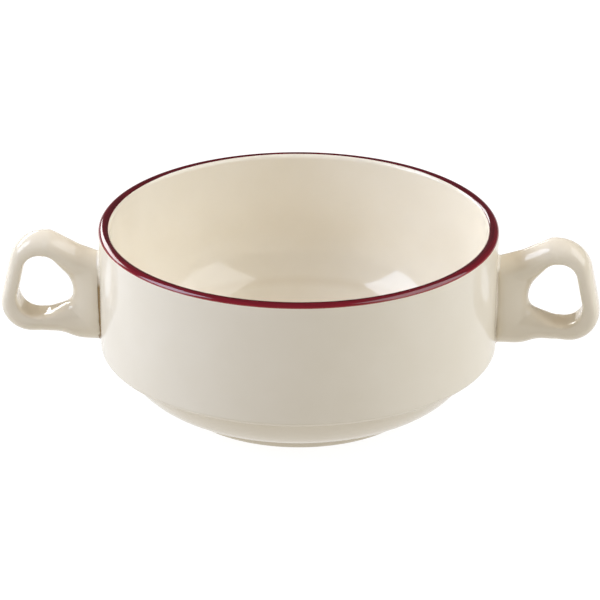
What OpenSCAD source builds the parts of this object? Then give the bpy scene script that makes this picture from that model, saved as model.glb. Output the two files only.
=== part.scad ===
// Stacking soup bowl with two pierced lug handles, in glazed hotelware.
// Millimetres, +Z up. The origin is the centre of the foot ring on the table,
// and the handles lie along X.

/* [Bowl] */
// Outside diameter at the rim
rim_d = 104; // [84:1:140]
// Height from the table to the top of the rim
bowl_h = 49; // [40:0.5:70]
// How far the wall leans in from the rim down to the stacking step
wall_lean = 0.25; // [0:0.05:2]
// Thickness of the round lip
lip_t = 3; // [2.2:0.1:4]
// Thickness of the wall above the inside curve
wall_t = 3.6; // [2.6:0.1:4.4]
// Radius of the inside curve from the wall to the floor
cove_r = 22; // [14:0.5:26]
// Thickness of the floor
floor_t = 4.6; // [3:0.2:7]

/* [Stacking step] */
// Height of the step above the table
step_h = 15.2; // [12:0.2:19]
// How far the step sets the lower body in
step_w = 4.4; // [3:0.2:6]
// Rounding of the wall's lower edge
step_edge_r = 1.4; // [0.6:0.1:2]
// Hollow rounding under the step
step_hollow_r = 0.8; // [0.3:0.1:1.2]
// How far the belly leans in below the step
belly_lean = 3; // [1:0.2:6]
// How far the underside climbs from the foot out to the belly
belly_rise = 2.5; // [1:0.1:5]
// Rounding between the belly and the underside
belly_r = 16; // [8:0.5:20]

/* [Foot ring] */
// Outside diameter of the foot ring
foot_d = 64; // [50:1:76]
// Height of the foot ring outside
foot_h = 2.8; // [1.6:0.1:5]
// Width of the foot ring
foot_w = 3.6; // [2.4:0.1:6]
// Depth of the hollow inside the foot ring
foot_hollow = 2.4; // [1:0.1:4]
// Rounding of the foot ring's edges
foot_edge_r = 0.6; // [0.2:0.1:1]
// Hollow rounding where the foot ring meets the underside
foot_hollow_r = 1; // [0.3:0.1:1.5]

/* [Rim line] */
// Thickness of the fired colour line
line_t = 0.2; // [0.1:0.05:0.4]
// How far the line comes down the outside from the top of the rim
line_out = 1; // [0.5:0.05:1.4]
// How far the line comes down the inside from the top of the rim
line_in = 0.45; // [0.2:0.05:1.2]

/* [Handles] */
// How far a handle stands out from the rim
handle_reach = 28.6; // [22:0.1:34]
// How far the top of a handle lies below the rim
handle_drop = 2.4; // [1:0.1:6]
// Depth of the strap
handle_depth = 9.2; // [7:0.1:13]
// Thickness of the strap over the top of the finger hole
crest_t = 6; // [4:0.1:8]
// Thickness of the outer upright
upright_t = 5; // [3:0.1:7]
// How far the outer upright leans in towards the top
upright_lean = 5.4; // [0:0.1:6]
// Thickness of the lower bar
bar_t = 5.1; // [3:0.1:7]
// How far the lower bar lies above the bottom of the root
bar_rise = 1.8; // [0.4:0.1:4]
// How far from the wall the lower bar starts
bar_start = 10.3; // [8:0.1:14]
// How far from the wall the top of the handle starts to fall
crest_start = 14; // [10:0.1:16]
// Squareness of the strap's section towards the hole, where 2 is an ellipse
hole_power = 5; // [2:0.1:8]
// Squareness of the strap's section away from the hole, where less than 2 is a soft ridge
back_power = 1.7; // [1.4:0.1:5]
// Where the strap is deepest, as a share of its thickness out from the hole
deepest = 0.3; // [0.2:0.02:0.6]

/* [Finger hole] */
// Width of the web between the wall and the finger hole
web_w = 8; // [5:0.1:10]
// How far the hole's lower edge climbs towards the wall
hole_lift = 3.1; // [0.5:0.1:5]
// Length of that climb
hole_climb = 5.5; // [4:0.1:9]
// How far the hole's outer edge leans in towards the top
hole_lean = 3.3; // [0:0.1:5]

/* [Handle roots] */
// How far the top of the root lies below the rim
root_drop = 8.3; // [6:0.1:14]
// How far the top edge climbs from the wall to the neck
neck_rise = 2.1; // [0.4:0.1:3]
// How far the neck lies from the wall
neck_out = 6.4; // [4:0.1:8]
// Length of the root's level underside
root_run = 6; // [3:0.1:8]
// Depth of the root at the wall
root_depth = 10.6; // [9:0.1:20]
// How far from the wall the root starts to spread
root_spread = 6.5; // [4:0.5:10]
// Thickness of the slip that bonds a root to the wall
slip_t = 0.4; // [0.2:0.1:1]
// How far the slip stands out round the root
slip_bead = 0.5; // [0.2:0.1:1.2]

/* [Hand setting] */
// How far the right handle is turned from square to the wall, in degrees
right_turn = -6.5; // [-8:0.5:4]
// How far the left handle is turned from square to the wall, in degrees
left_turn = -0.5; // [-8:0.5:4]
// How far the right handle is tipped towards the rim, in degrees
right_tip = 0.6; // [0:0.1:4]
// How far the left handle is tipped towards the rim, in degrees
left_tip = 1.6; // [0:0.1:4]
// How much closer to the wall the left handle is set
left_close = 1; // [0:0.1:1.6]
// How much lower the left handle is set
left_drop = 0.7; // [0:0.1:1.6]

/* [Handle roundings] */
// Rounding of the outline at the foot of the upright
heel_r = 8.3; // [4:0.1:9]
// Rounding of the outline over the top of the upright
crown_r = 22.5; // [6:0.5:30]
// Rounding of the sweeps from the crest into the root
crest_r = 7.8; // [3:0.1:12]
// Rounding of the sweeps from the lower bar into the root
bar_r = 10.2; // [4:0.1:14]
// Rounding of the hole's pointed corner next to the wall
hole_point_r = 4.2; // [1:0.1:8]
// Rounding of the hole next to the upright
hole_outer_r = 6; // [3:0.2:8]
// Rounding of the hole under the top strap, next to the wall
hole_inner_r = 11.4; // [4:0.2:12]

/* [Hidden] */

$fn = 180;
ivory = [0.89, 0.86, 0.79];
slip_white = [0.84, 0.80, 0.72];
claret = [0.45, 0.10, 0.16];

// Steps along each rounded corner, points round the strap and sections round the loop
arc_steps = 10;
strap_points = 20;
loop_sections = 72;

rim_r = rim_d / 2;
foot_r = foot_d / 2;
lip_r = lip_t / 2;
lip_c = [rim_r - lip_r, bowl_h - lip_r];
step_r = rim_r - wall_lean;
neck_r = step_r - step_w;
floor_z = foot_hollow + floor_t;
line_from = asin((lip_r - line_out) / lip_r);
line_to = 180 - asin((lip_r - line_in) / lip_r);

handle_top = bowl_h - handle_drop;
handle_out = rim_r + handle_reach;
root_low = step_h + step_edge_r;
root_top = bowl_h - root_drop;
bar_low = root_low + bar_rise;
hole_low = bar_low + bar_t;
hole_top = handle_top - crest_t;
hole_in = rim_r + web_w;
hole_out = handle_out - upright_t;
hole_c = [(hole_in + hole_out) / 2, (hole_low + hole_top) / 2];

root_c = [rim_r, 0, (root_low + root_top) / 2];

// The handle's form starts this far inside the wall, which then cuts it
root_sink = 3;
root_end = root_top - root_sink * neck_rise / neck_out;

// Outline through corners [x, y, rounding]. Two roundings that meet share the edge between them.
function corner(c, i) = let (p = c[(i + len(c)) % len(c)]) [p.x, p.y];
function edge(c, i) = corner(c, i + 1) - corner(c, i);
function bend(c, i) = let (a = edge(c, i - 1), b = edge(c, i)) atan2(cross(a, b), a * b);
function trim(c, i) = let (k = (i + len(c)) % len(c)) c[k].z * tan(abs(bend(c, k)) / 2);
function share(c, i) = min(1, norm(edge(c, i)) / max(trim(c, i) + trim(c, i + 1), 0.001));
function rounded(c) = [
    for (i = [0 : len(c) - 1])
        let (t = trim(c, i) * min(share(c, i - 1), share(c, i)))
        if (t < 0.001) corner(c, i)
        else
            let (
                turn = bend(c, i),
                along = edge(c, i - 1) / norm(edge(c, i - 1)),
                side = sign(turn) * [-along.y, along.x],
                r = t / tan(abs(turn) / 2),
                start = corner(c, i) - along * t
            )
            each [
                for (k = [0 : arc_steps])
                    let (a = abs(turn) * k / arc_steps)
                    start + along * r * sin(a) + side * r * (1 - cos(a))
            ]
];

// Points round the lip, sunk by some depth below its surface
function lip_arc(sink, from, to) = [
    for (k = [0 : arc_steps])
        let (a = from + (to - from) * k / arc_steps)
        lip_c + (lip_r - sink) * [cos(a), sin(a)]
];

// Half section from the hollow under the foot up to the lip
function outside() = rounded([
    [0, foot_hollow, 0],
    [foot_r - foot_w, foot_hollow, foot_hollow_r],
    [foot_r - foot_w, 0, foot_edge_r],
    [foot_r, 0, foot_edge_r],
    [foot_r, foot_h, foot_hollow_r],
    [neck_r - belly_lean, foot_h + belly_rise, belly_r],
    [neck_r, step_h, step_hollow_r],
    [step_r, step_h, step_edge_r],
    [rim_r, lip_c.y, 0],
    [rim_r - lip_t, lip_c.y, 0],
    [step_r - wall_t, floor_z, cove_r],
    [0, floor_z, 0]
]);

// The lip's crown is cut back where the colour line lies
module bowl_body() {
    color(ivory)
        rotate_extrude() {
            polygon(outside());
            polygon(concat(
                lip_arc(0, 0, line_from),
                lip_arc(line_t, line_from, line_to),
                lip_arc(0, line_to, 180)
            ));
        }
}

module rim_line() {
    color(claret)
        rotate_extrude()
            polygon(concat(
                lip_arc(0, line_from, line_to),
                lip_arc(line_t, line_to, line_from)
            ));
}

function hole_outline() = rounded([
    [hole_in, hole_low + hole_lift, hole_point_r],
    [hole_in + hole_climb, hole_low, bar_r],
    [hole_out, hole_low, hole_outer_r],
    [hole_out - hole_lean, hole_top, hole_outer_r],
    [hole_in, hole_top, hole_inner_r]
]);

// The root's edges stand out by grow
function handle_outline(grow) = rounded([
    [rim_r - root_sink, root_low - grow, 0],
    [rim_r + root_run, root_low - grow, bar_r],
    [rim_r + bar_start, bar_low, bar_r],
    [handle_out, bar_low, heel_r],
    [handle_out - upright_lean, handle_top, crown_r],
    [rim_r + crest_start, handle_top, crest_r],
    [rim_r + neck_out, root_top + neck_rise + grow, crest_r],
    [rim_r - root_sink, root_end + grow, 0]
]);

// Distance from the hole's centre to an outline, along a direction
function cut_at(dir, p, q) =
    let (e = q - p, k = cross(dir, e), from = p - hole_c)
    abs(k) < 0.000001 ? 0
    : let (t = cross(from, e) / k, s = cross(from, dir) / k)
      s >= 0 && s <= 1 ? t : 0;
function reach(outline, dir) = max([
    for (i = [0 : len(outline) - 1])
        cut_at(dir, outline[i], outline[(i + 1) % len(outline)])
]);

// Half depth of the strap, which spreads towards the wall
function half_depth(x, grow) =
    let (near = min(1, max(0, rim_r + root_spread - x) / root_spread))
    (handle_depth + (root_depth - handle_depth + 2 * grow) * near ^ 3) / 2;

// One section of the loop, from the outer edge to the hole's edge and back. It is squarer towards the hole.
function power_wave(v, power) = sign(v) * abs(v) ^ (2 / power);
function strap_section(inner, outer, grow) = [
    for (k = [0 : strap_points - 1])
        let (
            a = 360 * k / strap_points,
            power = cos(a) > 0 ? back_power : hole_power,
            width = cos(a) > 0 ? 1 - deepest : deepest,
            p = inner + (outer - inner) * (deepest + width * power_wave(cos(a), power))
        )
        [p.x, half_depth(p.x, grow) * power_wave(sin(a), power), p.y]
];

// The loop is a skin over sections that fan out from the middle of the finger hole
module handle_form(grow) {
    inside = hole_outline();
    outside = handle_outline(grow);
    skin = [
        for (i = [0 : loop_sections - 1])
            let (a = 360 * i / loop_sections, dir = [cos(a), sin(a)])
            each strap_section(
                hole_c + dir * reach(inside, dir),
                hole_c + dir * reach(outside, dir),
                grow
            )
    ];
    faces = [
        for (i = [0 : loop_sections - 1], k = [0 : strap_points - 1])
            let (
                i2 = (i + 1) % loop_sections,
                k2 = (k + 1) % strap_points,
                a = i * strap_points + k,
                b = i * strap_points + k2,
                c = i2 * strap_points + k2,
                d = i2 * strap_points + k
            )
            each [[a, c, b], [a, d, c]]
    ];
    polyhedron(skin, faces);
}

// The outside of the wall as a full cone, standing off by the slip
module wall_cone() {
    lean = wall_lean / (lip_c.y - step_h);
    cone_low = root_low - root_sink;
    translate([0, 0, cone_low])
        cylinder(
            h = bowl_h - cone_low,
            r1 = step_r + slip_t + lean * (cone_low - step_h),
            r2 = rim_r + slip_t + lean * (bowl_h - lip_c.y)
        );
}

// A handle's form as it is set on the wall by hand: tipped, turned, moved in and dropped
module set_form(grow, tip, turn, close, drop) {
    translate(root_c - [close, 0, drop])
        rotate([0, -tip, turn])
            translate(-root_c)
                handle_form(grow);
}

module handle(tip, turn, close = 0, drop = 0) {
    color(ivory)
        difference() {
            set_form(0, tip, turn, close, drop);
            wall_cone();
        }
}

// The slip fills what is left between a root and the bowl, also round the wall's lower edge
module slip(tip, turn, close = 0, drop = 0) {
    color(slip_white)
        difference() {
            intersection() {
                set_form(slip_bead, tip, turn, close, drop);
                wall_cone();
            }
            bowl_body();
            cylinder(h = bowl_h, r = rim_r - lip_t);
        }
}

module right_handle() {
    handle(right_tip, right_turn);
}

module left_handle() {
    rotate([0, 0, 180])
        handle(left_tip, left_turn, left_close, left_drop);
}

module right_slip() {
    slip(right_tip, right_turn);
}

module left_slip() {
    rotate([0, 0, 180])
        slip(left_tip, left_turn, left_close, left_drop);
}

bowl_body();
rim_line();
left_handle();
right_handle();
left_slip();
right_slip();
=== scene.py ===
# %% [markdown]
# # A lug soup bowl in ivory hotelware
# This lesson dresses a small stacking soup bowl with two pierced handles. The frame that is loaded first
# holds its six pieces at their real size: the bowl, the coloured line on its lip, two handles and the slip
# that bonds them to the wall. They are right in size and place but their curves are cut into flats, so each
# one gets a smooth piece in its stead, and then a glaze.

# %% Load the frame
import math

import bpy
from mathutils import Matrix, Vector
from mathutils.bvhtree import BVHTree


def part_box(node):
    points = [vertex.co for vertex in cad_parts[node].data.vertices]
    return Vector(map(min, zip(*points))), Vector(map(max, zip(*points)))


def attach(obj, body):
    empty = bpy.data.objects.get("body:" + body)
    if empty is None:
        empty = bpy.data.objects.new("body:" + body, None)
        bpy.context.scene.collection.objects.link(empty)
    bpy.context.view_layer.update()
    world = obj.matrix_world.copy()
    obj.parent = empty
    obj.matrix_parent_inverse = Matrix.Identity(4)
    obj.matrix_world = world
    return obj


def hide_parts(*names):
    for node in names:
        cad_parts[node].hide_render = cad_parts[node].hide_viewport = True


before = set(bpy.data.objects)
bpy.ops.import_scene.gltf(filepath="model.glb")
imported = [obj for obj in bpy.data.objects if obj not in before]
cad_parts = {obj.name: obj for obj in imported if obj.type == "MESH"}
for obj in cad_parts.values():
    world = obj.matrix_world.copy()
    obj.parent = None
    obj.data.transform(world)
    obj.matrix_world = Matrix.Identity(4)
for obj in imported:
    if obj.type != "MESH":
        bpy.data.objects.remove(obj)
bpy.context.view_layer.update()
print("frame nodes:", ", ".join(sorted(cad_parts)))

# %% [markdown]
# ## Sizes
# Blender works in metres, and a potter works in millimetres. The sizes here are written in millimetres and
# turned into metres at the moment a mesh is made. What the frame can tell, such as the rim and the height,
# is read from it, so the pieces always fit.

# %% Sizes of the bowl, in millimetres
MM = 0.001

rim_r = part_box("bowl_body")[1].x / MM
bowl_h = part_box("rim_line")[1].z / MM

lip_t = 3.0
wall_t = 3.6
wall_lean = 0.25
cove_r = 22.0
floor_t = 4.6

step_h = 15.2
step_w = 4.4
step_edge_r = 1.4
step_hollow_r = 0.8
belly_lean = 3.0
belly_rise = 2.5
belly_r = 16.0

foot_r = 32.0
foot_h = 2.8
foot_w = 3.6
foot_hollow = 2.4
foot_edge_r = 0.6
foot_hollow_r = 1.0

step_r = rim_r - wall_lean
neck_r = step_r - step_w
floor_z = foot_hollow + floor_t
print(f"rim {2 * rim_r:.1f} mm across, bowl {bowl_h:.1f} mm high")

# %% [markdown]
# ## Rounded outlines
# A lathe profile and a handle's outline are both a few straight runs with rounded corners. It is easiest to
# write the sharp corners, each with its rounding, and to let a function put an arc in every corner. Where
# two roundings meet on a short edge they share it, as a potter's rib would.

# %% An arc in every corner
ARC_STEP = math.radians(6)
FEWEST_STEPS = 3
TINY = 0.001


def rounded(corners):
    """The points of a closed outline through corners (x, y, rounding), in millimetres."""
    count = len(corners)
    spots = [Vector(corner[:2]) for corner in corners]
    edges = [spots[(i + 1) % count] - spots[i] for i in range(count)]
    bends = [math.atan2(edges[i - 1].cross(edges[i]), edges[i - 1].dot(edges[i])) for i in range(count)]
    trims = [corners[i][2] * math.tan(abs(bends[i]) / 2) for i in range(count)]
    shares = [min(1, edges[i].length / max(trims[i] + trims[(i + 1) % count], TINY)) for i in range(count)]
    points = []
    for i in range(count):
        trim = trims[i] * min(shares[i - 1], shares[i])
        if trim < TINY:
            points.append(spots[i])
            continue
        along = edges[i - 1].normalized()
        side = math.copysign(1, bends[i]) * Vector((-along.y, along.x))
        radius = trim / math.tan(abs(bends[i]) / 2)
        start = spots[i] - along * trim
        steps = max(FEWEST_STEPS, math.ceil(abs(bends[i]) / ARC_STEP))
        for k in range(steps + 1):
            turn = abs(bends[i]) * k / steps
            points.append(start + along * radius * math.sin(turn) + side * radius * (1 - math.cos(turn)))
    return points


# %% [markdown]
# ## Drawing and turning
# A bowl is jiggered: a template scrapes the clay while the wheel turns it. Blender's Spin does the same. The
# template's edge is drawn by extruding one vertex from point to point, and Spin sweeps it round the Z axis.
# The ends of the sweep and the poles are merged, and only then are the faces turned outwards, because a
# sweep can come out inside out.

# %% Tools for every mesh
MERGE = 0.0005 * MM


def start_clean():
    """Object mode with nothing selected, because an operator acts on all that is selected."""
    if bpy.context.mode != "OBJECT":
        bpy.ops.object.mode_set(mode="OBJECT")
    bpy.ops.object.select_all(action="DESELECT")


def new_piece(name):
    """The primitive that was just added, with its name."""
    piece = bpy.context.object
    piece.name = name
    piece.data.name = name
    return piece


def tidy_mesh():
    """Merge what lies in one place, turn the faces outwards and go back to object mode."""
    bpy.ops.mesh.select_all(action="SELECT")
    bpy.ops.mesh.remove_doubles(threshold=MERGE)
    bpy.ops.mesh.normals_make_consistent(inside=False)
    bpy.ops.object.mode_set(mode="OBJECT")


def soften(piece, degrees):
    """Smooth shading, except across edges that turn by more than the angle."""
    start_clean()
    piece.select_set(True)
    bpy.context.view_layer.objects.active = piece
    bpy.ops.object.shade_smooth_by_angle(angle=math.radians(degrees))


# %% Tools for turned pieces
TURN_STEPS = 320


def draw_profile(name, points):
    """A chain of edges through points (radius, height), drawn from a plane that is merged to a vertex."""
    start_clean()
    bpy.ops.mesh.primitive_plane_add(size=MM)
    piece = new_piece(name)
    bpy.ops.object.mode_set(mode="EDIT")
    bpy.ops.mesh.select_all(action="SELECT")
    bpy.ops.mesh.merge(type="CENTER")
    bpy.ops.transform.translate(value=(points[0].x * MM, 0, points[0].y * MM))
    for here, there in zip(points, points[1:]):
        step = (there - here) * MM
        bpy.ops.mesh.extrude_vertices_move(TRANSFORM_OT_translate={"value": (step.x, 0, step.y)})
    return piece


def turn_profile(piece, closed):
    """Spin the drawn profile once round Z. A closed profile's last vertex is joined to its first."""
    bpy.ops.mesh.select_all(action="SELECT")
    if closed:
        bpy.ops.mesh.remove_doubles(threshold=MERGE)
    bpy.ops.mesh.spin(steps=TURN_STEPS, angle=math.tau, center=(0, 0, 0), axis=(0, 0, 1))
    tidy_mesh()
    print(f"{piece.name}: {len(piece.data.polygons)} faces")


# %% [markdown]
# ## The bowl
# The half section goes from the hollow under the foot, round the foot ring, up the belly to the step that
# lets such bowls stack, up the wall, over the lip and down the inside to the floor. The lip is two corners
# whose roundings meet on top. It lies a few hundredths of a millimetre below the frame's rim, so that the
# painted line can lie on it and still end at the real height.

# %% Turn the bowl
paint_t = 0.04
lip_r = lip_t / 2
lip_top = bowl_h - paint_t
BOWL_CREASE = 40

bowl_section = rounded([
    (0, foot_hollow, 0),
    (foot_r - foot_w, foot_hollow, foot_hollow_r),
    (foot_r - foot_w, 0, foot_edge_r),
    (foot_r, 0, foot_edge_r),
    (foot_r, foot_h, foot_hollow_r),
    (neck_r - belly_lean, foot_h + belly_rise, belly_r),
    (neck_r, step_h, step_hollow_r),
    (step_r, step_h, step_edge_r),
    (rim_r, lip_top, lip_r),
    (rim_r - lip_t, lip_top, lip_r),
    (step_r - wall_t, floor_z, cove_r),
    (0, floor_z, 0),
])
bowl = draw_profile("bowl", bowl_section)
turn_profile(bowl, closed=False)
soften(bowl, BOWL_CREASE)

# %% [markdown]
# ## The line on the lip
# The line is ceramic colour, banded with a brush while the bowl turns and fired into the glaze. It is a skin
# a few hundredths thick that thins out at both edges. Its section is an arc over the lip and an arc back just
# under the surface, so the skin is a closed ring and its thin edges sink into the glaze.

# %% Turn the line
line_out = 0.85
line_in = 0.45
LINE_STEPS = 28
EDGE_SHARE = 0.1
EDGE_SINK = 0.5
UNDER_SINK = 3

lip_c = Vector((rim_r - lip_r, lip_top - lip_r))
line_from = math.asin((lip_r - line_out) / lip_r)
line_to = math.pi - math.asin((lip_r - line_in) / lip_r)


def lip_point(angle, lift):
    """A point over the lip, at an angle above the horizontal and a height over the surface."""
    return lip_c + (lip_r + lift) * Vector((math.cos(angle), math.sin(angle)))


over = []
under = []
for k in range(LINE_STEPS + 1):
    share = k / LINE_STEPS
    angle = line_from + (line_to - line_from) * (share * (1 + 2 * EDGE_SHARE) - EDGE_SHARE)
    fullness = min(1, min(share, 1 - share) / EDGE_SHARE)
    over.append(lip_point(angle, paint_t * ((1 + EDGE_SINK) * fullness - EDGE_SINK)))
    under.append(lip_point(angle, -UNDER_SINK * paint_t))
rim_line = draw_profile("painted_line", over + under[::-1] + over[:1])
turn_profile(rim_line, closed=True)

# %% [markdown]
# ## The lift of the brush
# A line that is banded by hand is never equally wide all round, and this one looks thinner at the back, as
# if the brush had lifted off the inside of the lip. So the inner part of the line, past the top of the lip,
# is drawn together there, and the change comes in softly from both sides.

# %% Narrow the line at the back
BACK_LIFT = 0.5
LINE_CREASE = 60

for vertex in rim_line.data.vertices:
    outward = Vector((vertex.co.x, vertex.co.y, 0)).normalized()
    spoke = Vector((vertex.co.xy.length, vertex.co.z)) / MM - lip_c
    angle = math.atan2(spoke.y, spoke.x)
    inner = max(0, angle - math.pi / 2)
    angle -= inner * BACK_LIFT * max(0, outward.y) ** 2
    moved = lip_c + spoke.length * Vector((math.cos(angle), math.sin(angle)))
    vertex.co = (outward * moved.x + Vector((0, 0, moved.y))) * MM
soften(rim_line, LINE_CREASE)
print(f"{rim_line.name}: inner part narrowed by {BACK_LIFT:.0%} at the back")

# %% [markdown]
# ## The handles
# A lug handle is cast in a mould: a loop round the finger hole, thick over the top, thin down the outer
# upright, with a broad root that spreads on to the wall. A torus already has that build, a ring round a hole
# with a round section, so it is a good start. Each vertex is read as two angles, one round the hole and one
# across the section, and is moved to the same two angles on the handle. The outer outline and the hole's
# outline, drawn next, give the two ends of every section.

# %% Outer outline of the handle, in millimetres
root_low = step_h + step_edge_r
root_top = bowl_h - 8.3
root_run = 6.0
root_sink = 3.0
neck_out = 6.4
neck_rise = 2.1

bar_low = root_low + 1.8
bar_start = 10.3
bar_r = 10.2
heel_r = 8.3

handle_top = bowl_h - 2.4
handle_out = rim_r + 28.45
upright_lean = 5.4
crown_r = 22.5
crest_start = 14.0
crest_r = 7.8

handle_outline = rounded([
    (rim_r - root_sink, root_low, 0),
    (rim_r + root_run, root_low, bar_r),
    (rim_r + bar_start, bar_low, bar_r),
    (handle_out, bar_low, heel_r),
    (handle_out - upright_lean, handle_top, crown_r),
    (rim_r + crest_start, handle_top, crest_r),
    (rim_r + neck_out, root_top + neck_rise, crest_r),
    (rim_r - root_sink, root_top - root_sink * neck_rise / neck_out, 0),
])
print(f"handle {handle_out - rim_r:.1f} mm long, {handle_top - root_low:.1f} mm high")

# %% Outline of the finger hole, in millimetres
hole_in = rim_r + 8.0
hole_out = handle_out - 5.0
hole_low = bar_low + 5.1
hole_top = handle_top - 6.0
hole_c = Vector((hole_in + hole_out, hole_low + hole_top)) / 2

web_low = hole_low + 4.0
web_low_r = 4.2
web_top = hole_top - 8.0
web_top_r = 9.0
sill_start = hole_in + 7.0
hole_heel_r = 7.5
hole_lean = 3.3
hole_crown_r = 6.0
hole_crest = hole_in + 6.2
hole_crest_r = 7.0

hole_outline = rounded([
    (hole_in, web_low, web_low_r),
    (sill_start, hole_low, bar_r),
    (hole_out, hole_low, hole_heel_r),
    (hole_out - hole_lean, hole_top, hole_crown_r),
    (hole_crest, hole_top, hole_crest_r),
    (hole_in, web_top, web_top_r),
])
print(f"finger hole {hole_out - hole_in:.1f} x {hole_top - hole_low:.1f} mm")

# %% [markdown]
# ## The strap's section
# Each section is two half ellipses that meet where the strap is widest, and a power sets how square each one
# is. A power of 2 is a true ellipse, a larger one is squarer and a smaller one more pointed. By the web, next
# to the root, the strap is round. Elsewhere it is nearly flat towards the finger and round outside, and the
# upright's outer face is flatter than the crest.

# %% Widths and roundness of the strap
handle_depth = 9.2
root_depth = 10.6
root_spread = 6.5
root_edge_r = 0.9

hole_power = 5.0
web_power = 2.0
outer_power = 1.7
upright_power = 2.8
widest = 0.3
web_widest = 0.5


def section(angle, around):
    """A point of the section: its share of the way from the hole outwards, and of half the depth."""
    webness = max(0, -math.cos(around)) ** 0.5
    flatness = max(0, math.cos(around))
    middle = widest + (web_widest - widest) * webness
    if math.cos(angle) > 0:
        power = outer_power + (upright_power - outer_power) * flatness
        width = 1 - middle
    else:
        power = hole_power + (web_power - hole_power) * webness
        width = middle
    across = math.copysign(abs(math.cos(angle)) ** (2 / power), math.cos(angle))
    deep = math.copysign(abs(math.sin(angle)) ** (2 / power), math.sin(angle))
    return middle + width * across, deep


def half_depth(x):
    """Half the depth of the strap, which spreads towards the wall."""
    near = min(1, max(0, rim_r + root_spread - x) / root_spread)
    edge = min(1, max(0, rim_r + root_edge_r - x) / root_edge_r)
    rounded_off = root_edge_r * (1 - math.sqrt(1 - edge ** 2))
    return (handle_depth + (root_depth - handle_depth) * near ** 3) / 2 - rounded_off


# %% A torus that gives up its vertices
RING_R = 10 * MM
PARALLEL = 5e-7


def add_ring(name, stations, points):
    """A plain torus, with so many sections and so many points in each."""
    start_clean()
    bpy.ops.mesh.primitive_torus_add(
        major_radius=RING_R,
        minor_radius=RING_R / 3,
        major_segments=stations,
        minor_segments=points,
    )
    return new_piece(name)


def ring_angles(vertex):
    """The two angles of a torus vertex: round the ring, and across its section."""
    around = math.atan2(vertex.co.y, vertex.co.x)
    across = math.atan2(vertex.co.z, vertex.co.xy.length - RING_R)
    return around, across


def nearest(angle, count):
    """The number of the place nearest to an angle, of count places in a full turn."""
    return round(angle / math.tau * count) % count


def reach(outline, ray):
    """How far an outline lies from the hole's centre along a ray."""
    best = 0
    for here, there in zip(outline, outline[1:] + outline[:1]):
        edge = there - here
        slant = ray.cross(edge)
        if abs(slant) > PARALLEL:
            along = (here - hole_c).cross(edge) / slant
            share = (here - hole_c).cross(ray) / slant
            if 0 <= share <= 1:
                best = max(best, along)
    return best


# %% Shape a torus into the handle
STATIONS = 240
STRAP_POINTS = 64


def make_handle(name):
    """A torus whose vertices are moved to the handle's sections, in its place on the right of the bowl."""
    piece = add_ring(name, STATIONS, STRAP_POINTS)
    ends = []
    for i in range(STATIONS):
        turn = math.tau * i / STATIONS
        ray = Vector((math.cos(turn), math.sin(turn)))
        ends.append((hole_c + ray * reach(hole_outline, ray), hole_c + ray * reach(handle_outline, ray)))
    for vertex in piece.data.vertices:
        around, across = ring_angles(vertex)
        inner, outer = ends[nearest(around, STATIONS)]
        share, deep = section(across, around)
        place = inner.lerp(outer, share)
        vertex.co = Vector((place.x, -half_depth(place.x) * deep, place.y)) * MM
    return piece


# %% [markdown]
# ## Setting the handles
# The handles come from one mould but are stuck on by hand, so they are never quite alike. The right one is
# turned six and a half degrees about its root and hardly tipped. The left one is hardly turned, but it is
# tipped more, and sits a little closer and lower. The setting is one matrix about the middle of the root, and
# for the left handle half a turn round the bowl.

# %% Set the two handles
right_turn = math.radians(-6.5)
right_tip = math.radians(0.6)
left_turn = math.radians(-0.5)
left_tip = math.radians(1.6)
left_close = 1.0
left_drop = 0.7

root_c = Vector((rim_r, 0, (root_low + root_top) / 2))


def setting(tip, turn, close, drop, half_turn):
    """The matrix that sets a handle on the wall, in metres."""
    moved = root_c - Vector((close, 0, drop))
    turned = Matrix.Rotation(turn, 4, "Z") @ Matrix.Rotation(-tip, 4, "Y")
    placed = Matrix.Translation(moved * MM) @ turned @ Matrix.Translation(-root_c * MM)
    return Matrix.Rotation(half_turn, 4, "Z") @ placed


right_handle = make_handle("handle_right")
left_handle = make_handle("handle_left")
right_handle.data.transform(setting(right_tip, right_turn, 0, 0, 0))
left_handle.data.transform(setting(left_tip, left_turn, left_close, left_drop, math.pi))
for piece in (right_handle, left_handle):
    low = min(v.co.z for v in piece.data.vertices) / MM
    high = max(v.co.z for v in piece.data.vertices) / MM
    print(f"{piece.name}: from {low:.1f} to {high:.1f} mm above the table")

# %% [markdown]
# ## Slip in the joints
# Slip, which is runny clay, sticks a handle to the wall. What squeezes out is wiped with a wet sponge into a
# small hollow fillet, and glaze then pools there. A fillet touches two curved surfaces, so its place is
# measured: rays from the middle of the root find where the handle meets the wall, and where it lies one
# fillet's width off it. A thin torus round the root is then moved so that its section bends from the handle
# to the wall, and back again out of sight.

# %% Find the joint
fillet = 1.0
SINK = 0.03
AIM_ROUNDS = 6


def surface_of(piece):
    """A tree of a piece's faces, for measuring."""
    return BVHTree.FromObject(piece, bpy.context.evaluated_depsgraph_get())


def wall_r(z):
    """Radius of the outside of the wall at a height, in millimetres."""
    return step_r + wall_lean * (z - step_h) / (lip_c.y - step_h)


def root_point(tree, side, direction, gap):
    """The handle's surface at some distance off the wall, in one direction from the middle of the root."""
    x = rim_r + gap
    for _ in range(AIM_ROUNDS):
        hit = tree.ray_cast(Vector((side * x, 0, root_c.z)) * MM, direction)[0] / MM
        x += gap - (hit.xy.length - wall_r(hit.z))
    return hit


def joint_section(handle_tree, bowl_tree, side, direction):
    """Where a fillet ends on the handle and on the wall, the corner it fills and a point inside."""
    on_handle = root_point(handle_tree, side, direction, fillet)
    corner = root_point(handle_tree, side, direction, 0)
    on_wall, normal = bowl_tree.find_nearest((corner + direction * fillet) * MM)[:2]
    inside = corner - direction * fillet / 2 - normal * fillet / 4
    return on_handle - direction * SINK, corner, on_wall / MM - normal * SINK, inside


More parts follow.
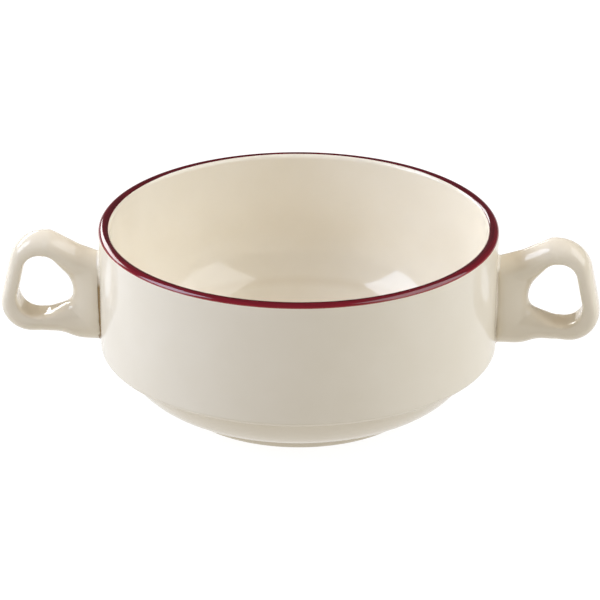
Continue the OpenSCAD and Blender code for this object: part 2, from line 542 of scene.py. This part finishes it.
# %% Lay the fillet in it
FILLET_STATIONS = 144
FILLET_POINTS = 20
SHOWN_POINTS = 12
JOINT_CREASE = 50


def bend_between(start, corner, end, share):
    """A point on the curve that leaves start towards corner and arrives at end from corner."""
    return start.lerp(corner, share).lerp(corner.lerp(end, share), share)


def make_fillet(name, handle, side):
    """A ring of slip round a handle's root, hollow outside and sunk a little into handle and wall."""
    handle_tree = surface_of(handle)
    bowl_tree = surface_of(bowl)
    sections = []
    for i in range(FILLET_STATIONS):
        turn = math.tau * i / FILLET_STATIONS
        direction = Vector((0, math.cos(turn), math.sin(turn)))
        sections.append(joint_section(handle_tree, bowl_tree, side, direction))
    piece = add_ring(name, FILLET_STATIONS, FILLET_POINTS)
    for vertex in piece.data.vertices:
        around, across = ring_angles(vertex)
        on_handle, corner, on_wall, inside = sections[nearest(around, FILLET_STATIONS)]
        k = nearest(across, FILLET_POINTS)
        if k <= SHOWN_POINTS:
            place = bend_between(on_handle, corner, on_wall, k / SHOWN_POINTS)
        else:
            share = (k - SHOWN_POINTS) / (FILLET_POINTS - SHOWN_POINTS)
            place = bend_between(on_wall, inside, on_handle, share)
        vertex.co = place * MM
    bpy.ops.object.mode_set(mode="EDIT")
    tidy_mesh()
    soften(piece, JOINT_CREASE)
    print(f"{piece.name}: {len(piece.data.polygons)} faces, fillet {fillet} mm")
    return piece


right_slip = make_fillet("slip_right", right_handle, 1)
left_slip = make_fillet("slip_left", left_handle, -1)

# %% [markdown]
# ## Trimming the roots
# The handle's form runs on into the wall, and the real root is trimmed to the wall's curve before it is stuck
# on. A cone of the wall's own size, a hair larger, is taken away from each handle with a Boolean modifier
# that is applied at once.

# %% Trim the handles to the wall
ROOT_GAP = 0.05


def trim_root(handle):
    """Cut a handle back to the outside of the wall."""
    low = step_h - root_sink
    start_clean()
    bpy.ops.mesh.primitive_cone_add(
        vertices=TURN_STEPS,
        radius1=(wall_r(low) + ROOT_GAP) * MM,
        radius2=(wall_r(bowl_h) + ROOT_GAP) * MM,
        depth=(bowl_h - low) * MM,
        location=(0, 0, (bowl_h + low) / 2 * MM),
    )
    cutter = bpy.context.object
    start_clean()
    handle.select_set(True)
    bpy.context.view_layer.objects.active = handle
    cut = handle.modifiers.new("trim", "BOOLEAN")
    cut.object = cutter
    cut.operation = "DIFFERENCE"
    cut.solver = "EXACT"
    bpy.ops.object.modifier_apply(modifier=cut.name)
    bpy.data.objects.remove(cutter)
    soften(handle, JOINT_CREASE)
    print(f"{handle.name}: {len(handle.data.polygons)} faces after trimming")


for handle in (right_handle, left_handle):
    trim_root(handle)

# %% [markdown]
# ## Finishes
# Every finish starts from the real one. A small function adds a node with its settings and its links, and
# another turns the hex values of a colour chart, which are sRGB, into the linear values that Blender mixes.

# %% Tools for finishes


def colour(code):
    """A hex colour such as E9E1D0 as linear red, green, blue and alpha."""
    values = [int(code[i:i + 2], 16) / 255 for i in (0, 2, 4)]
    return [v / 12.92 if v <= 0.04045 else ((v + 0.055) / 1.055) ** 2.4 for v in values] + [1.0]


def add(tree, kind, values={}, links={}, **settings):
    """Add a node, set its properties and input values, and link its inputs."""
    node = tree.nodes.new(kind)
    for name, value in settings.items():
        setattr(node, name, value)
    for socket, value in values.items():
        node.inputs[socket].default_value = value
    for socket, source in links.items():
        tree.links.new(source, node.inputs[socket])
    return node


def new_finish(name):
    """An empty node material, its tree, its shader and the place of a point on the piece."""
    finish = bpy.data.materials.new(name)
    finish.use_nodes = True
    tree = finish.node_tree
    tree.nodes.clear()
    shader = add(tree, "ShaderNodeBsdfPrincipled")
    add(tree, "ShaderNodeOutputMaterial", links={"Surface": shader.outputs["BSDF"]})
    place = add(tree, "ShaderNodeTexCoord").outputs["Object"]
    return finish, tree, shader, place


def per_mm(size):
    """The scale of a texture whose features are this many millimetres across."""
    return 1 / (size * MM)


# %% [markdown]
# ## Ivory glaze
# Hotelware is vitrified clay under a clear gloss glaze, tinted ivory. The glaze is a glass, so its IOR is
# about 1.5 and it is very smooth. It isn't perfect: it clouds a little in patches of a centimetre, and lies
# thicker and warmer in hollows, here under the stacking step. On this bowl the handles look a shade deeper
# and warmer than the wall, so they get a pair of ivories of their own.

# %% Clouds and pools in the glaze
GLAZE_IOR = 1.5
GLAZE_POOL = "D9CBB2"
CLOUD_SIZE = 11
POOL_FULL = 0.2
POOL_END = 1.4
POOL_SHARE = 0.2


def ivory_tint(tree, place, height, light, deep):
    """Ivory in soft clouds from light to deep, with a warm pool under the step."""
    cloud = add(tree, "ShaderNodeTexNoise", {"Scale": per_mm(CLOUD_SIZE), "Detail": 2.0}, {"Vector": place})
    ivory = add(
        tree,
        "ShaderNodeMix",
        {"A": colour(light), "B": colour(deep)},
        {"Factor": cloud.outputs["Fac"]},
        data_type="RGBA",
    )
    hollow = (step_h - step_hollow_r) * MM
    off_step = add(tree, "ShaderNodeMath", {1: hollow}, {0: height}, operation="SUBTRACT")
    distance = add(tree, "ShaderNodeMath", links={0: off_step.outputs[0]}, operation="ABSOLUTE")
    pool = add(
        tree,
        "ShaderNodeMapRange",
        {"From Min": POOL_FULL * MM, "From Max": POOL_END * MM, "To Min": POOL_SHARE, "To Max": 0.0},
        {"Value": distance.outputs[0]},
    )
    pool_and_painted_shade = add(
        tree,
        "ShaderNodeMix",
        {"B": colour(GLAZE_POOL)},
        {"Factor": pool.outputs["Result"], "A": ivory.outputs["Result"]},
        data_type="RGBA",
    )
    return pool_and_painted_shade.outputs["Result"]


# %% [markdown]
# ## The bare foot
# Glaze would stick to the kiln shelf, so the foot ring is wiped clean before firing and its underside is bare
# clay, matt and a little gritty. The sponge leaves a ragged edge, so a noise shifts the height up to which
# the clay shows.

# %% Wiped clay under the foot ring
BARE_CLAY = "DDD4C5"
BARE_CLAY_DARK = "CFC5B4"
GRIT_SIZE = 0.4
WIPED_EDGE = 0.2
WIPED_DROP = 0.02


def bare_foot(tree, height, ragged):
    """1 where the glaze is wiped off the foot, 0 where it isn't."""
    wiped = add(
        tree,
        "ShaderNodeMath",
        {1: WIPED_EDGE * MM, 2: -WIPED_DROP * MM},
        {0: ragged},
        operation="MULTIPLY_ADD",
    )
    bare = add(tree, "ShaderNodeMath", links={0: height, 1: wiped.outputs[0]}, operation="LESS_THAN")
    return bare.outputs[0]


def bare_clay(tree, place):
    """The colour of fired clay, speckled by its grit."""
    grit = add(tree, "ShaderNodeTexNoise", {"Scale": per_mm(GRIT_SIZE), "Detail": 4.0}, {"Vector": place})
    clay = add(
        tree,
        "ShaderNodeMix",
        {"A": colour(BARE_CLAY_DARK), "B": colour(BARE_CLAY)},
        {"Factor": grit.outputs["Fac"]},
        data_type="RGBA",
    )
    return clay.outputs["Result"]


# %% [markdown]
# ## The glaze as a whole
# A gloss glaze mirrors a lamp with a crisp edge, so its roughness is a few hundredths and varies a little.
# It also ripples like orange peel, in waves of a few millimetres, which makes the mirrored edges waver.

# %% Make the ivory glaze
BOWL_IVORY = ("F3EDE0", "EEE7D7")
HANDLE_IVORY = ("F2EADA", "ECE3D0")
RAGGED_SIZE = 1.5
GLOSS_LOW = 0.05
GLOSS_HIGH = 0.09
CLAY_ROUGHNESS = 0.75
PEEL_SIZE = 4
PEEL_HEIGHT = 0.02
PEEL_STRENGTH = 0.25


def ivory_glaze(name, light, deep):
    """Gloss ivory glaze: soft clouds, warm pools, a faint ripple and a bare foot."""
    finish, tree, shader, place = new_finish(name)
    height = add(tree, "ShaderNodeSeparateXYZ", links={"Vector": place}).outputs["Z"]
    ragged = add(tree, "ShaderNodeTexNoise", {"Scale": per_mm(RAGGED_SIZE)}, {"Vector": place}).outputs["Fac"]
    bare = bare_foot(tree, height, ragged)
    ivory = ivory_tint(tree, place, height, light, deep)
    skin = add(
        tree,
        "ShaderNodeMix",
        links={"Factor": bare, "A": ivory, "B": bare_clay(tree, place)},
        data_type="RGBA",
    )
    gloss = add(tree, "ShaderNodeMapRange", {"To Min": GLOSS_LOW, "To Max": GLOSS_HIGH}, {"Value": ragged})
    rough = add(tree, "ShaderNodeMix", {"B": CLAY_ROUGHNESS}, {"Factor": bare, "A": gloss.outputs["Result"]})
    peel = add(tree, "ShaderNodeTexNoise", {"Scale": per_mm(PEEL_SIZE), "Detail": 1.0}, {"Vector": place})
    ripple = add(
        tree,
        "ShaderNodeBump",
        {"Strength": PEEL_STRENGTH, "Distance": PEEL_HEIGHT * MM},
        {"Height": peel.outputs["Fac"]},
    )
    shader.inputs["IOR"].default_value = GLAZE_IOR
    tree.links.new(skin.outputs["Result"], shader.inputs["Base Color"])
    tree.links.new(rough.outputs["Result"], shader.inputs["Roughness"])
    tree.links.new(ripple.outputs["Normal"], shader.inputs["Normal"])
    return finish


glaze = ivory_glaze("ivory_gloss_glaze", *BOWL_IVORY)
# The handles' copy of the glaze is a shade deeper and warmer than the bowl's.
handle_glaze = ivory_glaze("deeper_ivory_gloss_glaze_of_handles", *HANDLE_IVORY)
print("made", glaze.name, handle_glaze.name)

# %% [markdown]
# ## Glaze in the joints
# Glaze over the slip is ivory. Shade falls low in the crease where a handle meets the wall, and a brown is
# painted there as painted shade. The right joint looks ivory, so its painted shade stays at the very bottom.
# The left one is dark low down, so its painted shade reaches higher, and a noise shifts the height so that it
# ends unevenly.

# %% Make the glaze of the joints
SEAM_IVORY = "F1E9DA"
# Painted shade: the brown that stands in for the shade low in the joints, and the heights where it ends.
SEAM_PAINTED_SHADE = "8E744B"
SEAM_ROUGHNESS = 0.07
SHADE_EDGE_SIZE = 3
SHADE_EDGE_HEIGHT = 4
RIGHT_PAINTED_SHADE_TOP = 16
LEFT_PAINTED_SHADE_TOP = 34


def seam_glaze(name, painted_shade_top):
    """Glaze over the slip of a joint: ivory, with a brown painted shade low in the joint."""
    finish, tree, shader, place = new_finish(name)
    split = add(tree, "ShaderNodeSeparateXYZ", links={"Vector": place})
    shade_edge_noise = add(tree, "ShaderNodeTexNoise", {"Scale": per_mm(SHADE_EDGE_SIZE)}, {"Vector": place})
    height = add(
        tree,
        "ShaderNodeMath",
        {1: SHADE_EDGE_HEIGHT * MM},
        {0: shade_edge_noise.outputs["Fac"], 2: split.outputs["Z"]},
        operation="MULTIPLY_ADD",
    )
    # Painted shade: 1 low in the joint, fading to 0 over the height of the noise.
    pool_and_painted_shade = add(
        tree,
        "ShaderNodeMapRange",
        {"From Min": painted_shade_top * MM, "From Max": (painted_shade_top + SHADE_EDGE_HEIGHT) * MM, "To Min": 1.0, "To Max": 0.0},
        {"Value": height.outputs[0]},
    )
    skin = add(
        tree,
        "ShaderNodeMix",
        {"A": colour(SEAM_IVORY), "B": colour(SEAM_PAINTED_SHADE)},
        {"Factor": pool_and_painted_shade.outputs["Result"]},
        data_type="RGBA",
    )
    shader.inputs["IOR"].default_value = GLAZE_IOR
    shader.inputs["Roughness"].default_value = SEAM_ROUGHNESS
    tree.links.new(skin.outputs["Result"], shader.inputs["Base Color"])
    return finish


right_seam = seam_glaze("slip_glaze_with_low_painted_shade", RIGHT_PAINTED_SHADE_TOP)
left_seam = seam_glaze("slip_glaze_with_high_painted_shade", LEFT_PAINTED_SHADE_TOP)
print("made", right_seam.name, left_seam.name)

# %% [markdown]
# ## Claret line
# Banding colour is a stain that fires into the glaze, so it is as glossy as the rest. The brush leaves faint
# streaks round the lip. Painted light makes the outside of the line brighter, and painted shade makes its top
# and inside darker. Towards the edges, where the coat thins, the ivory shines through and turns the claret to
# a warmer red. All of this follows the angle over the lip, so that angle is worked out first.

# %% The angle over the lip, and the thin edges
THIN_START = 0.9
THIN_END = 1.1
THIN_MOST = 0.85


def lip_angle(tree, split):
    """The angle of a point over the lip, above the horizontal."""
    flat = add(tree, "ShaderNodeCombineXYZ", links={"X": split.outputs["X"], "Y": split.outputs["Y"]})
    radius = add(tree, "ShaderNodeVectorMath", links={0: flat.outputs[0]}, operation="LENGTH")
    out = add(tree, "ShaderNodeMath", {1: lip_c.x * MM}, {0: radius.outputs["Value"]}, operation="SUBTRACT")
    up = add(tree, "ShaderNodeMath", {1: lip_c.y * MM}, {0: split.outputs["Z"]}, operation="SUBTRACT")
    angle = add(tree, "ShaderNodeMath", links={0: up.outputs[0], 1: out.outputs[0]}, operation="ARCTAN2")
    return angle.outputs[0]


def thin_edges(tree, angle):
    """0 over most of the line, rising where the coat runs out at either edge."""
    middle = (line_from + line_to) / 2
    half = (line_to - line_from) / 2
    off = add(tree, "ShaderNodeMath", {1: middle}, {0: angle}, operation="SUBTRACT")
    away = add(tree, "ShaderNodeMath", links={0: off.outputs[0]}, operation="ABSOLUTE")
    thin = add(
        tree,
        "ShaderNodeMapRange",
        {"From Min": half * THIN_START, "From Max": half * THIN_END, "To Min": 0.0, "To Max": THIN_MOST},
        {"Value": away.outputs[0]},
    )
    return thin.outputs["Result"]


# %% The streaks of the brush, with painted light and shade
STREAK_LENGTH = 9.0
STREAK_WIDTH = 0.35
# Painted light on the outside of the lip, and painted shade on its top and inside.
PAINTED_LIGHT_OUTSIDE = 0.35
PAINTED_SHADE_ON_TOP = -0.45


def brush_streaks_and_painted_light(tree, split, angle):
    """How bright the coat is: in streaks round the lip, with painted light outside and painted shade on top.
    """
    front = add(tree, "ShaderNodeMath", {1: -1.0}, {0: split.outputs["Y"]}, operation="MULTIPLY")
    round_bowl = add(
        tree,
        "ShaderNodeMath",
        links={0: split.outputs["X"], 1: front.outputs[0]},
        operation="ARCTAN2",
    )
    along = add(
        tree,
        "ShaderNodeMath",
        {1: rim_r / STREAK_LENGTH},
        {0: round_bowl.outputs[0]},
        operation="MULTIPLY",
    )
    across = add(tree, "ShaderNodeMath", {1: lip_r / STREAK_WIDTH}, {0: angle}, operation="MULTIPLY")
    stroke = add(tree, "ShaderNodeCombineXYZ", links={"X": along.outputs[0], "Y": across.outputs[0]})
    streak = add(tree, "ShaderNodeTexNoise", {"Scale": 1.0, "Detail": 3.0}, {"Vector": stroke.outputs[0]})
    # Painted light and shade: brighter on the outside of the lip, darker from its top inwards.
    painted_light_slope = add(
        tree,
        "ShaderNodeMapRange",
        {"From Min": line_from, "From Max": math.pi / 2, "To Min": PAINTED_LIGHT_OUTSIDE, "To Max": PAINTED_SHADE_ON_TOP},
        {"Value": angle},
    )
    bright = add(
        tree,
        "ShaderNodeMath",
        links={0: streak.outputs["Fac"], 1: painted_light_slope.outputs["Result"]},
        operation="ADD",
    )
    return bright.outputs[0]


# %% Make the claret colour
CLARET = "8E1D2D"
CLARET_DEEP = "4E0A16"
CLARET_THIN = "B0574F"
CLARET_IOR = 1.6
CLARET_ROUGHNESS = 0.08


def claret_line(name):
    """Fired banding colour: streaks along the brush, painted light and shade over the lip, thin warm edges,
    full gloss.
    """
    finish, tree, shader, place = new_finish(name)
    split = add(tree, "ShaderNodeSeparateXYZ", links={"Vector": place})
    angle = lip_angle(tree, split)
    coat = add(
        tree,
        "ShaderNodeMix",
        {"A": colour(CLARET_DEEP), "B": colour(CLARET)},
        {"Factor": brush_streaks_and_painted_light(tree, split, angle)},
        data_type="RGBA",
    )
    edged = add(
        tree,
        "ShaderNodeMix",
        {"B": colour(CLARET_THIN)},
        {"Factor": thin_edges(tree, angle), "A": coat.outputs["Result"]},
        data_type="RGBA",
    )
    shader.inputs["IOR"].default_value = CLARET_IOR
    shader.inputs["Roughness"].default_value = CLARET_ROUGHNESS
    tree.links.new(edged.outputs["Result"], shader.inputs["Base Color"])
    return finish


claret = claret_line("fired_claret_band")
print("made", claret.name)

# %% [markdown]
# ## Each piece in place of a frame node
# Each piece takes the place of one node of the frame, which is hidden, and moves with its body. Its row also
# lists the slot that its finish belongs to.

# %% Put the finishes on and ride the frame
pieces = [
    (bowl, "bowl_body", "ivory_glaze", glaze),
    (rim_line, "rim_line", "claret_line", claret),
    (left_handle, "left_handle", "ivory_glaze", handle_glaze),
    (right_handle, "right_handle", "ivory_glaze", handle_glaze),
    (left_slip, "left_slip", "slip_bead", left_seam),
    (right_slip, "right_slip", "slip_bead", right_seam),
]
for piece, node, slot, finish in pieces:
    piece.data.materials.clear()
    piece.data.materials.append(finish)
    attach(piece, "root")
    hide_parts(node)
    print(f"{piece.name} stands for {node}")

# %% [markdown]
# ## Floor and backdrop
# Tableware is photographed on a white sweep. A floor and a world that bright would also light the bowl
# strongly from all round. So they tell apart what a ray is for: they are white to the eye, dimmer in
# reflections, and dimmer still as a source of light.

# %% White to the eye, soft to the light


def seen(tree, sheen):
    """1 for a ray from the eye, sheen for one that is mirrored or went through glass, 0 for the rest."""
    path = add(tree, "ShaderNodeLightPath")
    mirror = add(
        tree,
        "ShaderNodeMath",
        links={0: path.outputs["Is Glossy Ray"], 1: path.outputs["Is Transmission Ray"]},
        operation="MAXIMUM",
    )
    dimmed = add(tree, "ShaderNodeMath", {1: sheen}, {0: mirror.outputs[0]}, operation="MULTIPLY")
    both = add(
        tree,
        "ShaderNodeMath",
        links={0: path.outputs["Is Camera Ray"], 1: dimmed.outputs[0]},
        operation="MAXIMUM",
    )
    return both.outputs[0]


# %% The white backdrop
ROOM_SHEEN = 0.1


def white_world():
    """A world that is white to look at, faint in reflections and no lamp at all."""
    world = bpy.data.worlds.new("white_backdrop")
    bpy.context.scene.world = world
    world.use_nodes = True
    tree = world.node_tree
    tree.nodes.clear()
    sky = add(tree, "ShaderNodeBackground", {"Color": colour("FFFFFF")}, {"Strength": seen(tree, ROOM_SHEEN)})
    add(tree, "ShaderNodeOutputWorld", links={"Surface": sky.outputs[0]})
    print("made", world.name)


white_world()

# %% The white floor
FLOOR_SIZE = 6
FLOOR_DROP = 0.02
FLOOR_SHEEN = 0.75
FLOOR_GLOW = 0.9
SHADOW_SHARE = 0.2
UNDERGLOW = 0.64
UNDERGLOW_TINT = "FFF9EF"
MATT_SHARE = 0.06


def white_floor():
    """A pale floor that is white where it is lit and keeps a faint shadow."""
    start_clean()
    bpy.ops.mesh.primitive_plane_add(size=FLOOR_SIZE, location=(0, 0, -FLOOR_DROP * MM))
    floor = bpy.context.object
    floor.name = "floor"
    paint = bpy.data.materials.new("white_sweep")
    paint.use_nodes = True
    tree = paint.node_tree
    tree.nodes.clear()
    matt = add(tree, "ShaderNodeBsdfDiffuse", {"Color": (MATT_SHARE, MATT_SHARE, MATT_SHARE, 1)})
    veil = add(tree, "ShaderNodeBsdfDiffuse", {"Color": (SHADOW_SHARE, SHADOW_SHARE, SHADOW_SHARE, 1)})
    glow = add(tree, "ShaderNodeEmission", {"Strength": FLOOR_GLOW})
    bright = add(tree, "ShaderNodeAddShader", links={0: veil.outputs[0], 1: glow.outputs[0]})
    below = add(tree, "ShaderNodeEmission", {"Color": colour(UNDERGLOW_TINT), "Strength": UNDERGLOW})
    lit = add(tree, "ShaderNodeAddShader", links={0: matt.outputs[0], 1: below.outputs[0]})
    mix = add(
        tree,
        "ShaderNodeMixShader",
        links={0: seen(tree, FLOOR_SHEEN), 1: lit.outputs[0], 2: bright.outputs[0]},
    )
    add(tree, "ShaderNodeOutputMaterial", links={"Surface": mix.outputs[0]})
    floor.data.materials.append(paint)
    print("made", floor.name)


white_floor()

# %% [markdown]
# ## Lamps
# Three soft boxes, on the left, the right and behind, show as bright patches in the glaze, and they make the
# flanks brighter than the middle of the wall. A large warm panel overhead lights the inside, and two dim
# fills lift the front. Those three aren't mirrored, because a large lamp in the glaze would lie over the
# colours as a grey veil.

# %% Hang the lamps
bowl_middle = Vector((0, 0, 25 * MM))


def soft_box(name, place, size, power, tint, mirrored=True):
    """A large rectangular lamp that faces the bowl. A fill lamp isn't mirrored in the glaze."""
    start_clean()
    bpy.ops.object.light_add(type="AREA", location=place)
    lamp = bpy.context.object
    lamp.name = name
    lamp.data.shape = "RECTANGLE"
    lamp.data.size = size[0]
    lamp.data.size_y = size[1]
    lamp.data.energy = power
    lamp.data.color = colour(tint)[:3]
    lamp.visible_glossy = mirrored
    lamp.rotation_euler = (bowl_middle - Vector(place)).to_track_quat("-Z", "Y").to_euler()
    print(f"{name}: {power} W")


soft_box("soft_box_left", (-0.87, -0.11, 0.66), (0.6, 0.7), 8.4, "DFEAFF")
soft_box("soft_box_right", (0.85, -0.12, 0.69), (1.1, 0.9), 8.5, "F7FBFF")
soft_box("soft_box_back", (-0.74, 0.83, 0.45), (0.9, 0.35), 6.5, "FFFFFF")
soft_box("ceiling_panel", (0.0, 0.4, 1.5), (2.4, 2.4), 15.4, "FFE9CE", mirrored=False)
soft_box("fill_left", (-0.85, -0.55, 0.4), (1.2, 0.7), 2.2, "FFF6EC", mirrored=False)
soft_box("fill_right", (0.85, -0.55, 0.4), (1.2, 0.7), 1.0, "FFF4E6", mirrored=False)

# %% [markdown]
# ## Camera
# The camera stands about a metre off with a long lens, as for a catalogue, a little above the bowl and a
# touch to its right. Its lens and shift are set for a square image.

# %% Camera
IMAGE_PX = 600
SENSOR_WIDTH = 36
NEAR_CLIP = 0.05
focal_px = 3820
target_px = Vector((298.4, 308.7))
camera_distance = 1.0
camera_rise = math.radians(23.89)
camera_swing = math.radians(1.5)
camera_roll = math.radians(0.195)

level = camera_distance * math.cos(camera_rise)
offset = Vector((
    level * math.sin(camera_swing),
    -level * math.cos(camera_swing),
    camera_distance * math.sin(camera_rise),
))
start_clean()
bpy.ops.object.camera_add(location=bowl_middle + offset)
camera = bpy.context.object
aim = (-offset).to_track_quat("-Z", "Y").to_matrix()
camera.rotation_euler = (aim @ Matrix.Rotation(camera_roll, 3, "Z")).to_euler()
camera.data.sensor_width = SENSOR_WIDTH
camera.data.lens = SENSOR_WIDTH * focal_px / IMAGE_PX
camera.data.shift_x = (IMAGE_PX / 2 - target_px.x) / IMAGE_PX
camera.data.shift_y = (target_px.y - IMAGE_PX / 2) / IMAGE_PX
camera.data.clip_start = NEAR_CLIP
bpy.context.scene.camera = camera
bpy.context.scene.view_settings.view_transform = "Standard"
print(f"lens {camera.data.lens:.0f} mm")
